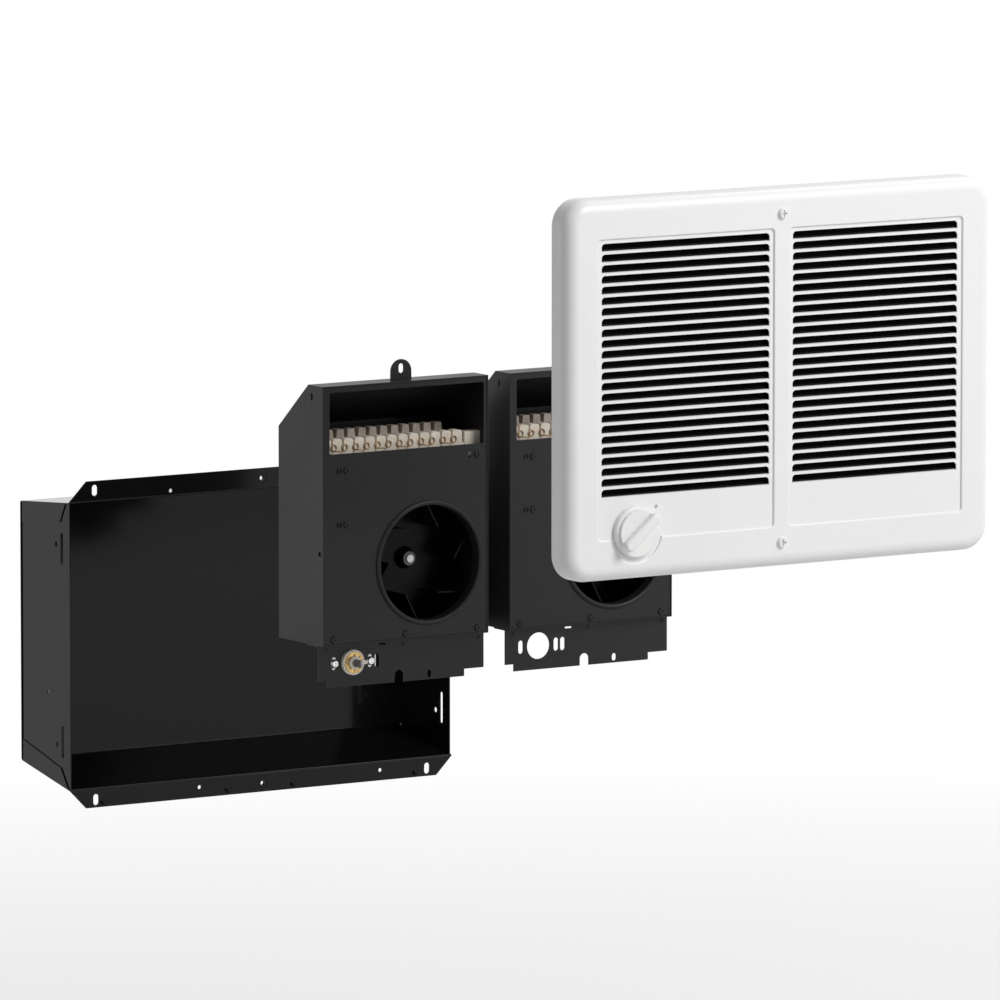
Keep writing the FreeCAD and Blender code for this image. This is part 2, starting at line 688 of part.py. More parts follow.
def front_panel():
    body = start()
    gap = size.panel_gap
    sketch = face_front(body, panel_back)
    panel(sketch, -inner_half + gap, inner_half - gap, size.case_low + t + gap, size.case_top - t - gap)
    panel(sketch, -unit_half + size.window_left, unit_half - size.window_right, window_low,
          window_low + size.window_tall, size.window_round)
    ring(sketch, size.inlet_x, size.inlet_z, (size.mouth + size.throat) / 2)
    for x, z in pair_spots + [end_spot]:
        ring(sketch, x - size.pair_half * 2, z, size.vent_hole)
    for x, z in foot_spots + pair_spots + [end_spot]:
        ring(sketch, x, z, size.screw_hole)
    pad(body, sketch, t)
    # rolled inlet lip
    bead = (size.mouth - size.throat) / 2
    sketch = draw(body, "YZ_Plane", size.inlet_x)
    high = size.inlet_z + size.mouth
    low = size.inlet_z + size.throat
    end = panel_front + size.throat_long
    bow = arc(sketch, panel_front, size.inlet_z + size.throat + bead, bead, math.pi / 2, math.pi * 3 / 2)
    path = [
        (panel_front, low),
        (end, low),
        (end, low + t),
        (panel_back, low + t),
        (panel_back, high),
        (panel_front, high),
    ]
    lines = [segment(sketch, a, b) for a, b in zip(path, path[1:])]
    join_ends(sketch, "Coincident", (bow, 2, lines[0], 1), (lines[-1], 2, bow, 1),
              *[(a, 2, b, 1) for a, b in zip(lines, lines[1:])])
    fix(sketch, bow, 1, panel_front)
    fix(sketch, bow, 2, panel_front)
    for line, (x, z) in zip(lines[:-1], path[1:-1]):
        fix(sketch, line, 2, x, z)
    middle = Part.LineSegment(vector(panel_front, size.inlet_z), vector(end, size.inlet_z))
    axis = sketch.addGeometry(middle, True)
    fix(sketch, axis, 1, panel_front, size.inlet_z)
    fix(sketch, axis, 2, end, size.inlet_z)
    turned(body, sketch, (sketch, ["Axis0"]))
    return body


def control_plate():
    body = start()
    sketch = draw(body, "YZ_Plane")
    outline(sketch, [
        (plate_front, size.plate_deep),
        (size.ear_back, size.plate_deep),
        (size.ear_back, size.case_low - t),
        (size.plate_shelf, size.case_low - t),
        (size.plate_shelf, size.case_low),
        (plate_front, size.case_low),
    ])
    pad(body, sketch, size.unit_width, both=True)
    soften(body, size.bend_in, x_edge([(size.ear_back, size.case_low - t), (plate_front, size.case_low)]))
    sketch = draw(body, "XZ_Plane")
    under = size.plate_deep - t
    panel(sketch, -unit_half - t, -unit_half + size.plate_left, under, size.plate_low)
    panel(sketch, unit_half - size.plate_right, unit_half + t, under, size.plate_low)
    arch(sketch, size.notch_x, under, size.plate_deep + size.notch_tall - size.notch_round, size.notch_round)
    obround(sketch, size.foot_slot_x, size.foot_slot_z, size.foot_slot_wide, size.foot_slot_tall)
    ring(sketch, size.stat_x, size.stat_z, size.stat_hole)
    for step in (-size.stat_slot_in, size.stat_slot_in, size.stat_slot_far):
        obround(sketch, size.stat_x + step, size.stat_z, size.stat_slot_wide, size.stat_slot_tall)
    panel(sketch, size.slit_x - size.slit_half, size.slit_x + size.slit_half,
          size.slit_z - size.slit_tall / 2, size.slit_z + size.slit_tall / 2)
    pocket(body, sketch, both=True)
    sketch = face_front(body, plate_front + t * size.dent_share)
    for x in (-size.dent_x, zero, size.dent_x):
        ring(sketch, x, size.dent_z, size.dent_round)
    pocket(body, sketch, t, back=True)
    return body


def scroll_baffle():
    body = start()
    high = size.case_low + t + inner_half
    sketch = face_front(body, inner_back)
    outer = arc(sketch, zero, high, inner_half, math.pi, math.pi * 3 / 2)
    inner = arc(sketch, zero, high, inner_half - t, math.pi, math.pi * 3 / 2)
    side = segment(sketch, (-inner_half, high), (-inner_half + t, high))
    foot = segment(sketch, (zero, high - inner_half + t), (zero, high - inner_half))
    join_ends(sketch, "Coincident", (outer, 1, side, 1), (side, 2, inner, 1),
              (inner, 2, foot, 1), (foot, 2, outer, 2))
    for bow in (outer, inner):
        fix(sketch, bow, 1, None, high)
        fix(sketch, bow, 2, 0, None)
    pad(body, sketch, inner_back - panel_back - t)
    return body


def cutoff_tongue():
    body = start()
    sketch = face_front(body, inner_back)
    outline(sketch, [
        (inner_half, size.tongue_high),
        (inner_half, size.tongue_high - t * 1.2),
        (size.tongue_x, size.tongue_z),
        (size.tongue_x - t / 2, size.tongue_z + t / 2),
    ])
    pad(body, sketch, inner_back - panel_back)
    return body


def motor_core():
    body = start()
    sketch = face_front(body, size.core_back)
    panel(sketch, -size.core_left, size.core_right, -size.core_half, size.core_half)
    ring(sketch, 0, 0, size.core_bore)
    panel(sketch, -size.core_left + size.core_leg, -size.core_window_in,
          -size.core_window_half, size.core_window_half)
    pad(body, sketch, size.core_back - size.core_front)
    return body


def motor_coil():
    body = start()
    slack = size.coil_slack
    wall = size.coil_wall
    left = -size.core_left - slack
    right = -size.core_left + size.core_leg + slack
    front = size.core_front - slack
    back = size.core_back + slack
    sketch = draw(body, "XY_Plane", -size.coil_half)
    panel(sketch, left - wall, right + wall, front - wall, back + wall, size.coil_round)
    panel(sketch, left, right, front, back)
    pad(body, sketch, size.coil_half * 2)
    return body


# A bearing bridge spans the core; its feet stand on the core's face
def bridge(foot, out, reach):
    body = start()
    sketch = draw(body, "YZ_Plane")
    top = out - (out - foot) / abs(plain(out - foot)) * size.bridge_sheet
    outline(sketch, [
        (foot, size.bridge_end),
        (out, size.bridge_end),
        (out, -size.bridge_end),
        (foot, -size.bridge_end),
        (foot, -size.bridge_foot),
        (top, -size.bridge_foot),
        (top, size.bridge_foot),
        (foot, size.bridge_foot),
    ])
    pad(body, sketch, size.bridge_half * 2, both=True)
    sketch = draw(body, "XZ_Plane")
    ring(sketch, 0, 0, size.shaft_round + size.bearing_slack)
    pocket(body, sketch, both=True)
    if reach:
        sketch = face_front(body, inner_back)
        for z in (size.bridge_foot, -size.bridge_end):
            panel(sketch, -size.bridge_half, size.bridge_half, z, z + size.bridge_end - size.bridge_foot)
        pad(body, sketch, inner_back - out)
    return body


def ceramic_front():
    body = start()
    back = size.bar_front_y + size.bar_thick
    sketch = face_front(body, back)
    panel(sketch, -size.bar_left, size.bar_right, size.bar_low, size.bar_seat)
    pad(body, sketch, size.bar_thick)
    half = size.tooth_wide / 2
    sketch = face_front(body, back)
    panel(sketch, -size.tooth_first - half, -size.tooth_first + half, size.bar_seat - t, size.tooth_high,
          size.tooth_round, "tr tl")
    tooth = pad(body, sketch, size.bar_thick)
    repeat(body, [tooth], "X_Axis", size.bar_step * (size.teeth - 1), size.teeth)
    return body


def ceramic_rear():
    body = start()
    back = size.bar_rear_y + size.bar_thick
    sketch = face_front(body, back)
    panel(sketch, -size.bar_left, size.bar_right, size.bar_low, size.bar_seat)
    pad(body, sketch, size.bar_thick)
    wide = size.rear_tooth_low / 2
    slim = size.rear_tooth_top / 2
    sketch = face_front(body, back)
    outline(sketch, [
        (-size.tooth_first - wide, size.bar_seat - t),
        (-size.tooth_first + wide, size.bar_seat - t),
        (-size.tooth_first + slim, size.rear_tooth_high),
        (-size.tooth_first - slim, size.rear_tooth_high),
    ])
    tooth = pad(body, sketch, size.bar_thick)
    repeat(body, [tooth], "X_Axis", size.bar_step * (size.teeth - 1), size.teeth)
    return body


# The heating coil weaves between the bars through the gaps of their teeth
def heating_coil():
    body = start()
    half = size.wire_thick / 2
    thick = size.wire_thick
    front = size.wire_front
    rear = size.wire_rear
    first = -size.tooth_first + size.bar_step / 2
    second = first + size.bar_step
    third = second + size.bar_step
    sketch = draw(body, "XY_Plane", size.bar_seat)
    outline(sketch, [
        (first - half, rear),
        (first - half, front),
        (second + half, front),
        (second + half, rear - thick),
        (third - half, rear - thick),
        (third - half, rear),
        (second - half, rear),
        (second - half, front + thick),
        (first + half, front + thick),
        (first + half, rear),
    ])
    bend = pad(body, sketch, thick)
    repeat(body, [bend], "X_Axis", size.bar_step * 2 * (size.bend_count - 1), size.bend_count)
    return body


def element_end_outer():
    body = start()
    sketch = draw(body, "XY_Plane", size.end_low)
    panel(sketch, size.bar_right, inner_half, size.end_front, size.end_rear)
    pad(body, sketch, size.end_high - size.end_low)
    sketch = draw(body, "YZ_Plane", size.bar_right)
    panel(sketch, size.end_front, size.end_front + size.end_out_deep,
          size.end_low, size.end_low + size.end_tall)
    pad(body, sketch, unit_half + size.end_out - size.bar_right)
    return body


def element_end_inner():
    body = start()
    sketch = draw(body, "XY_Plane", size.end_low)
    panel(sketch, -inner_half, -size.bar_left, size.end_front, size.end_rear)
    pad(body, sketch, size.end_high - size.end_low)
    return body


def limit_bracket():
    body = start()
    x = size.pair_x + size.pair_half
    sketch = face_front(body, panel_back + size.limit_sheet)
    panel(sketch, x - size.limit_wide / 2, x + size.limit_wide / 2, size.pair_low_z - size.limit_over,
          size.pair_high_z + size.limit_over)
    for spot_x, z in pair_spots:
        ring(sketch, spot_x, z, size.screw_hole)
    pad(body, sketch, size.limit_sheet)
    return body


def limit_switch():
    body = start()
    sketch = face_front(body, panel_back + size.limit_sheet + size.limit_deep)
    ring(sketch, size.pair_x + size.pair_half, (size.pair_high_z + size.pair_low_z) / 2, size.limit_round)
    pad(body, sketch, size.limit_deep)
    return body


# Turning pieces lie on their body's own Y axis
def fan_wheel():
    body = start()
    plate_back = size.wheel_back
    plate_face = size.wheel_back - size.wheel_sheet
    bore = size.shaft_round + size.seat_slack
    sketch = draw(body, "YZ_Plane")
    outline(sketch, [
        (plate_back, bore),
        (plate_back, size.wheel_round),
        (plate_face, size.wheel_round),
        (plate_face, size.hub_round),
        (size.hub_front, size.hub_round - size.hub_fillet),
        (size.hub_front, bore),
    ])
    turned(body, sketch, (origin_part(body, "Y_Axis"), [""]))
    lead = size.blade_lead
    tip_x = size.wheel_round * cosine(lead)
    tip_z = size.wheel_round * sine(lead)
    thick = size.blade_thick
    sketch = face_front(body, plate_face + size.wheel_sheet / 2)
    outline(sketch, [
        (size.blade_in, 0),
        (size.blade_in + thick, -thick / 2),
        (tip_x, tip_z - thick),
        (tip_x - thick, tip_z),
    ])
    blade = pad(body, sketch, plate_face + size.wheel_sheet / 2 - size.wheel_front)
    around(body, [blade], size.blades)
    return body


def round_piece(back, front, outside, inside=None):
    body = start()
    sketch = face_front(body, back)
    ring(sketch, 0, 0, outside)
    if inside is not None:
        ring(sketch, 0, 0, inside)
    pad(body, sketch, back - front)
    return body


for hand, way in (("left", -1), ("right", 1)):
    unit_x = unit_pitch / 2 * way
    unit_y = -size.heater_pull
    unit_z = size.heater_pull * size.rise_share
    fan_x = unit_x + size.inlet_x
    fan_z = unit_z + size.inlet_z
    seat = size.shaft_round + size.seat_slack
    for name, maker in (
        ("case_shell", case_shell),
        ("front_panel", front_panel),
        ("control_plate", control_plate),
        ("scroll_baffle", scroll_baffle),
        ("cutoff_tongue", cutoff_tongue),
        ("ceramic_front", ceramic_front),
        ("ceramic_rear", ceramic_rear),
        ("heating_coil", heating_coil),
        ("element_end_outer", element_end_outer),
        ("element_end_inner", element_end_inner),
        ("limit_bracket", limit_bracket),
        ("limit_switch", limit_switch),
    ):
        keep(maker(), f"{name}_{hand}", unit_x, unit_y, unit_z)
    keep(motor_core(), f"motor_core_{hand}", fan_x, unit_y, fan_z)
    keep(motor_coil(), f"motor_coil_{hand}", fan_x, unit_y, fan_z)
    front_bridge = bridge(size.core_front, size.bridge_front, False)
    keep(front_bridge, f"motor_bridge_front_{hand}", fan_x, unit_y, fan_z)
    rear_bridge = bridge(size.core_back, size.core_back + size.core_front - size.bridge_front, True)
    keep(rear_bridge, f"motor_bridge_rear_{hand}", fan_x, unit_y, fan_z)
    keep(fan_wheel(), f"fan_wheel_{hand}", fan_x, unit_y, fan_z)
    rotor = round_piece(size.core_back + size.rotor_over, size.core_front - size.rotor_over,
                        size.core_bore - size.rotor_gap, seat)
    keep(rotor, f"motor_rotor_{hand}", fan_x, unit_y, fan_z)
    shaft = round_piece(size.shaft_end, size.shaft_tip, size.shaft_round)
    keep(shaft, f"motor_shaft_{hand}", fan_x, unit_y, fan_z)
    clip = round_piece(size.hub_front, size.hub_front - size.clip_thick, size.clip_round, seat)
    keep(clip, f"wheel_clip_{hand}", fan_x, unit_y, fan_z)
    heads = screws(foot_spots + pair_spots + [end_spot], panel_front, size.head_round, size.head_tall,
                   size.shank_round, size.shank_long)
    keep(heads, f"panel_screws_{hand}", unit_x, unit_y, unit_z)

# Thermostat on the left unit
stat_x = -unit_pitch / 2 + size.stat_x
stat_y = -size.heater_pull
stat_rise = size.heater_pull * size.rise_share
stat_mid = stat_rise + size.stat_z
plate_rear = size.ear_back + size.stat_plate_sheet

body = start()
sketch = face_front(body, plate_rear + size.stat_block_deep)
panel(sketch, -size.stat_block_half, size.stat_block_half, size.stat_block_low, size.stat_block_high)
pad(body, sketch, size.stat_block_deep)
sketch = face_front(body, plate_rear)
panel(sketch, -size.stat_neck_half, size.stat_neck_half, size.stat_block_low, size.stat_neck_high)
pad(body, sketch, size.stat_plate_sheet)
sketch = face_front(body, size.ear_back)
ring(sketch, 0, size.stat_z, size.stat_boss)
pad(body, sketch, size.stat_boss_out)
boss_front = size.ear_back - size.stat_boss_out
sketch = face_front(body, boss_front)
ring(sketch, 0, size.stat_z, size.spindle_round + size.spindle_slack)
pocket(body, sketch, size.spindle_end - boss_front + size.stat_plate_sheet)
keep(body, "thermostat_body", stat_x, stat_y, stat_rise)

body = start()
sketch = face_front(body, plate_rear)
slack = size.stat_neck_slack
panel(sketch, -size.stat_plate_half, size.stat_plate_half, size.stat_plate_low, size.stat_plate_high)
panel(sketch, -size.stat_neck_half - slack, size.stat_neck_half + slack, size.stat_block_low - slack,
      size.stat_neck_high + slack)
for way in (1, -1):
    ring(sketch, size.stat_slot_in * way, size.stat_z, size.stat_screw_hole)
pad(body, sketch, size.stat_plate_sheet)
keep(body, "thermostat_bracket", stat_x, stat_y, stat_rise)

body = round_piece(boss_front, boss_front - size.disc_thick, size.disc_round, size.disc_eye)
sketch = face_front(body, boss_front - size.disc_thick)
ring(sketch, size.disc_ring, 0, size.disc_hole)
bored = pocket(body, sketch, size.disc_thick)
around(body, [bored], size.disc_holes)
keep(body, "thermostat_disc", stat_x, stat_y, stat_mid)

# the shaft ends in an upright tang, which the knob's slotted stem takes up
body = round_piece(size.spindle_end, size.spindle_step, size.spindle_round)
sketch = face_front(body, size.spindle_step)
panel(sketch, -size.tang_half, size.tang_half, -size.tang_tall, size.tang_tall)
pad(body, sketch, size.spindle_step - size.spindle_tip)
keep(body, "thermostat_shaft", stat_x, stat_y, stat_mid)

cam_front = size.cam_back - size.cam_thick
body = round_piece(size.cam_back, cam_front, size.cam_round, size.spindle_round + size.seat_slack)
sketch = face_front(body, size.cam_back)
inside = (size.cam_round + size.spindle_round) / 2
outline(sketch, [
    (inside, -size.cam_half),
    (size.cam_reach, -size.cam_half / 2),
    (size.cam_reach, size.cam_half / 2),
    (inside, size.cam_half),
])
pad(body, sketch, size.cam_thick)
keep(body, "thermostat_pointer", stat_x, stat_y, stat_mid)

spots = [(-size.stat_slot_in, size.stat_z), (size.stat_slot_in, size.stat_z)]
pair = screws(spots, plate_front, size.stat_head_round, size.stat_head_tall,
              size.stat_shank, size.stat_shank_long)
keep(pair, "thermostat_screws", stat_x, stat_y, stat_rise)

# Grille
grille_y = -size.heater_pull * size.grille_pull_share
grille_z = size.heater_pull * size.rise_share * size.grille_pull_share
half_wide = size.grille_width / 2
half_tall = size.grille_height / 2
face = -size.grille_deep
field_face = face + size.field_deep
field_back = field_face + size.grille_sheet
field_out = half_wide - size.field_side
field_top = half_tall - size.field_head
field_low = -half_tall + size.field_foot
knob_x = -half_wide + size.knob_side
knob_z = -half_tall + size.knob_foot_up
screw_z = half_tall - size.grille_screw_in

grille = start()
sketch = draw(grille, "XZ_Plane")
panel(sketch, -half_wide, half_wide, -half_tall, half_tall, size.grille_corner)
pad(grille, sketch, size.grille_deep)


def front_edge(edge):
    return all(near(spot.Point.y, face) for spot in edge.Vertexes)


soften(grille, size.grille_edge, front_edge)
sketch = face_front(grille, face)
for side in (1, -1):
    ends = sorted((size.field_in * side, field_out * side), key=plain)
    panel(sketch, *ends, field_low, field_top, size.field_round)
pocket(grille, sketch, size.field_deep)
sketch = face_front(grille, face)
ring(sketch, knob_x, knob_z, size.ring_out)
pocket(grille, sketch, size.field_deep)


def field_edge(edge):
    box = edge.BoundBox
    reach = plain(field_out + size.field_soft)
    return front_edge(edge) and max(abs(box.XMin), abs(box.XMax)) < reach


soften(grille, size.field_soft, field_edge)

# the hollow behind the sheet follows its front at one thickness
skin = size.grille_sheet
core = start()
sketch = face_front(core, skin)
panel(sketch, -half_wide + skin, half_wide - skin, -half_tall + skin, half_tall - skin,
      size.grille_corner - skin)
pad(core, sketch, size.grille_deep)
core_face = face + skin


def core_edge(edge):
    return all(near(spot.Point.y, core_face) for spot in edge.Vertexes)


soften(core, size.grille_edge - skin, core_edge)
sketch = face_front(core, core_face)
for side in (1, -1):
    ends = sorted(((size.field_in - skin) * side, (field_out + skin) * side), key=plain)
    panel(sketch, *ends, field_low - skin, field_top + skin, size.field_round + skin)
pocket(core, sketch, size.field_deep)
sketch = face_front(core, core_face)
ring(sketch, knob_x, knob_z, size.ring_out + skin)
pocket(core, sketch, size.field_deep)
hollow = grille.newObject("PartDesign::Boolean", "hollow")
hollow.Type = "Cut"
hollow.setObjects([core])
grille.Tip = hollow
doc.recompute()

# louvres: each slot leaves a strip whose top edge turns back
slot_step = (field_top - field_low) * size.slot_step_share
slot_tall = slot_step * size.slot_tall_share
slot_in = size.field_in + size.slot_in
slot_out = field_out - size.slot_side
slot_low = field_top - size.slot_head - slot_tall - slot_step * (size.slots - 1)
sketch = face_front(grille, face)
for side in (1, -1):
    ends = sorted((slot_in * side, slot_out * side), key=plain)
    panel(sketch, *ends, slot_low, slot_low + slot_tall, slot_tall * size.slot_round_share, "tr tl")
cuts = [pocket(grille, sketch, size.field_deep + size.grille_sheet * 2)]
root = field_back - size.grille_sheet / 2
for x in (slot_in, -slot_out):
    sketch = draw(grille, "YZ_Plane", x)
    outline(sketch, [
        (root, slot_low),
        (root, slot_low - size.lip_thick),
        (field_back, slot_low - size.lip_thick),
        (field_back + size.lip_back, slot_low + size.lip_rise - size.lip_thick),
        (field_back + size.lip_back, slot_low + size.lip_rise),
    ])
    cuts.append(pad(grille, sketch, slot_out - slot_in))
repeat(grille, cuts, "Z_Axis", slot_step * (size.slots - 1), size.slots)
doc.recompute()
sketch = face_front(grille, face)
for way in (1, -1):
    ring(sketch, 0, screw_z * way, size.grille_hole)
ring(sketch, knob_x, knob_z, size.knob_hole)
pocket(grille, sketch, size.grille_deep)
keep(grille, "grille", 0, grille_y, grille_z)

# fine black lint screen, drawn as a plain sheet against the louvres' lips
screen = start()
sketch = face_front(screen, field_back + size.lip_back + size.screen_thick)
panel(sketch, -slot_out - size.screen_lap, slot_out + size.screen_lap,
      slot_low - size.screen_lap, field_top - size.slot_head + size.screen_lap)
pad(screen, sketch, size.screen_thick)
keep(screen, "lint_screen", 0, grille_y, grille_z)

spots = [(zero, screw_z), (zero, -screw_z)]
pair = screws(spots, face, size.grille_head, size.grille_head_tall,
              size.grille_shank, size.grille_shank_long)
keep(pair, "grille_screws", 0, grille_y, grille_z)

# Knob, about its own axis
knob = start()
foot = field_face - size.knob_run
under = field_face - size.knob_gap
top = under - size.knob_base
sketch = draw(knob, "YZ_Plane")
outline(sketch, [
    (size.hub_back, 0),
    (size.hub_back, size.knob_hub),
    (foot, size.knob_hub),
    (foot, size.knob_foot),
    (under, size.knob_foot),
    (under, size.knob_round),
    (top, size.knob_round),
    (top, 0),
])
turned(knob, sketch, (origin_part(knob, "Y_Axis"), [""]))


def rim(edge):
    if not isinstance(edge.Curve, Part.Circle):
        return False
    return near(edge.Curve.Center.y, top) and near(edge.Curve.Radius, size.knob_round)


soften(knob, size.rim_edge, rim)
sketch = face_front(knob, top + size.knob_base / 2, size.knob_turn)
half_moon(sketch, 0, zero, size.knob_round - size.rim_edge - size.moon_gap, True)
pad(knob, sketch, size.knob_base / 2 + size.moon_tall)
sketch = face_front(knob, top + size.knob_base / 2, size.knob_turn)
panel(sketch, -size.grip_long, size.grip_long, -size.grip_half, size.grip_half,
      size.grip_half - size.moon_gap / 2)
pad(knob, sketch, size.knob_base / 2 + size.grip_tall)


def grip_top(edge):
    return all(near(spot.Point.y, top - size.grip_tall) for spot in edge.Vertexes)


soften(knob, size.grip_edge, grip_top)
sketch = face_front(knob, size.hub_back)
panel(sketch, -size.tang_half - size.tang_slack, size.tang_half + size.tang_slack,
      -size.knob_hub * 2, size.knob_hub * 2)
pocket(knob, sketch, size.hub_back - size.drive_end, back=True)
keep(knob, "knob", knob_x, grille_y, grille_z + knob_z)

os.makedirs("parts", exist_ok=True)
doc.recompute()
for thing in doc.Objects:
    if "Invalid" in thing.State or "Error" in thing.State:
        raise SystemExit(f"{thing.Label} is {thing.State}")
for label, thing in nodes:
    if thing.Shape.isNull() or not thing.Shape.isValid():
        raise SystemExit(f"{label} has no valid shape")
    thing.Shape.exportStep(f"parts/{label}.step")
    print(label, len(thing.Shape.Solids), round(thing.Shape.Volume / 1000, 2), "cm3")
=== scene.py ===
import json
import math

import bmesh
import bpy
from mathutils import Matrix, Vector

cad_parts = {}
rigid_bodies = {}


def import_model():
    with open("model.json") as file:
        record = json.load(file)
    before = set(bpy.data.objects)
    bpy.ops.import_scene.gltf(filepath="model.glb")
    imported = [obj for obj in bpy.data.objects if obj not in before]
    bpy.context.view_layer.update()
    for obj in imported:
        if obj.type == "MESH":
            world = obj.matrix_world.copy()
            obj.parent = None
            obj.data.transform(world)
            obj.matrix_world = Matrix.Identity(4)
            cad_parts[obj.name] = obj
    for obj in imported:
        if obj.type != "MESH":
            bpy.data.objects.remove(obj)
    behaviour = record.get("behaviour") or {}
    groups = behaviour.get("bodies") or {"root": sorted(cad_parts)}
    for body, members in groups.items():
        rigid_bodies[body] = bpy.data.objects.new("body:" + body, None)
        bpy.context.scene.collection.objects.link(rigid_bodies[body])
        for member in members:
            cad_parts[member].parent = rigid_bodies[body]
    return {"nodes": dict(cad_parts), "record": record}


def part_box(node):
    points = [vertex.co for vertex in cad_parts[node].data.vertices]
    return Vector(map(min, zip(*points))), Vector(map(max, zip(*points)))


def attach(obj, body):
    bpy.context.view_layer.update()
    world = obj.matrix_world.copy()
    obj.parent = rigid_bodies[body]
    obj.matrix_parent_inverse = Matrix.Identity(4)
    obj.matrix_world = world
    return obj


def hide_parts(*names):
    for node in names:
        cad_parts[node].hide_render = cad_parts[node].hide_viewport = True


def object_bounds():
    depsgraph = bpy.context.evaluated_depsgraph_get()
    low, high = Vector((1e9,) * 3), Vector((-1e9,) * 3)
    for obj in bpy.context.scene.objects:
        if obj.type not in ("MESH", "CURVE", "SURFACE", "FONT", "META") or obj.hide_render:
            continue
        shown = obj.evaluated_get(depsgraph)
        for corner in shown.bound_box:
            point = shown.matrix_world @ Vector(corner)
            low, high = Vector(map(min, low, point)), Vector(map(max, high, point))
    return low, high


for leftOver in list(bpy.data.objects):
    bpy.data.objects.remove(leftOver)

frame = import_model()
cadBox = [list(corner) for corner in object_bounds()]
nodes = frame["nodes"]
hands = ("left", "right")
quarterTurn = math.pi / 2
white = (1.0, 1.0, 1.0, 1.0)
print("frame loaded,", len(nodes), "nodes")


def linkObject(name, data):
    holder = bpy.data.objects.new(name, data)
    bpy.context.scene.collection.objects.link(holder)
    return holder


# camera at the photograph's angle
cameraSetup = {
    "azimuth": -32.76,  # degrees, camera left of the front
    "elevation": 7.2,
    "distance": 9.0,  # metres from the aim
    "lens": 415.4,  # mm on a 36 mm sensor
    "clipEnd": 50.0,
    "aim": (-0.0017, -0.3579, 0.1445),
}


def placeCamera(setup):
    around = math.radians(setup["azimuth"])
    above = math.radians(setup["elevation"])
    backward = Vector((
        math.sin(around) * math.cos(above),
        -math.cos(around) * math.cos(above),
        math.sin(above),
    ))
    eye = bpy.data.cameras.new("camera")
    eye.lens = setup["lens"]
    eye.clip_end = setup["clipEnd"]
    holder = linkObject("camera", eye)
    holder.location = Vector(setup["aim"]) + backward * setup["distance"]
    holder.rotation_euler = backward.to_track_quat("Z", "Y").to_euler()
    bpy.context.scene.camera = holder


placeCamera(cameraSetup)
print("camera placed")


# sockets of the mix node go by place, as their names repeat for each data type
mixFactor = 0
floatPair = (2, 3)
colorPair = (6, 7)
colorOut = 2


def addNode(tree, kind, **values):
    node = tree.nodes.new(kind)
    for key, value in values.items():
        if hasattr(node, key):
            setattr(node, key, value)
        else:
            node.inputs[key.replace("_", " ")].default_value = value
    return node


def wire(tree, source, target):
    tree.links.new(source, target)


def opaque(color):
    return (*color, 1.0)


# each colour is a fixed tuple or the socket that gives it
def mixColors(tree, share, first, second):
    mix = addNode(tree, "ShaderNodeMix", data_type="RGBA")
    wire(tree, share, mix.inputs[mixFactor])
    for place, color in zip(colorPair, (first, second)):
        if isinstance(color, tuple):
            mix.inputs[place].default_value = color
        else:
            wire(tree, color, mix.inputs[place])
    return mix.outputs[colorOut]


# shared effects, each a node group on object coordinates
def newGroup(name, inputs, outputs):
    group = bpy.data.node_groups.new(name, "ShaderNodeTree")
    for label, value in inputs.items():
        kind = "NodeSocketColor" if isinstance(value, tuple) else "NodeSocketFloat"
        socket = group.interface.new_socket(label, in_out="INPUT", socket_type=kind)
        socket.default_value = value
    for label, kind in outputs.items():
        group.interface.new_socket(label, in_out="OUTPUT", socket_type=kind)
    entry = group.nodes.new("NodeGroupInput")
    leave = group.nodes.new("NodeGroupOutput")
    return group, entry, leave


def addScaledNoise(group, entry, spot, label, detail, rough):
    noise = addNode(group, "ShaderNodeTexNoise", Detail=detail, Roughness=rough)
    wire(group, spot.outputs["Object"], noise.inputs["Vector"])
    wire(group, entry.outputs[label], noise.inputs["Scale"])
    return noise.outputs["Fac"]


# maps the noise's usual reach to a pair of the group's inputs
def addReach(group, entry, noise, reach, lowLabel, highLabel):
    level = addNode(group, "ShaderNodeMapRange", From_Min=reach[0], From_Max=reach[1])
    wire(group, noise, level.inputs["Value"])
    wire(group, entry.outputs[lowLabel], level.inputs["To Min"])
    wire(group, entry.outputs[highLabel], level.inputs["To Max"])
    return level.outputs["Result"]


# paint: a fine orange peel and a broad drift of sheen
paintSkinShape = {
    "peel": {"detail": 2.0, "rough": 0.5},
    "drift": {"detail": 3.0, "rough": 0.6},
    "reach": (0.3, 0.7),
}


def makePaintSkin(shape):
    group, entry, leave = newGroup(
        "paintSkin",
        {"Peel Scale": 900.0, "Drift Scale": 9.0, "Sheen Low": 0.3, "Sheen High": 0.4},
        {"Height": "NodeSocketFloat", "Roughness": "NodeSocketFloat", "Drift": "NodeSocketFloat"},
    )
    spot = addNode(group, "ShaderNodeTexCoord")
    peel = addScaledNoise(group, entry, spot, "Peel Scale", **shape["peel"])
    drift = addScaledNoise(group, entry, spot, "Drift Scale", **shape["drift"])
    sheen = addReach(group, entry, drift, shape["reach"], "Sheen Low", "Sheen High")
    wire(group, peel, leave.inputs["Height"])
    wire(group, sheen, leave.inputs["Roughness"])
    wire(group, drift, leave.inputs["Drift"])
    return group


# speckle: two colours mixed by a cloud and by small grains
speckleShape = {
    "cloud": {"detail": 5.0, "rough": 0.65},
    "grain": {"detail": 2.0, "rough": 0.7},
    "reach": (0.38, 0.66),
}


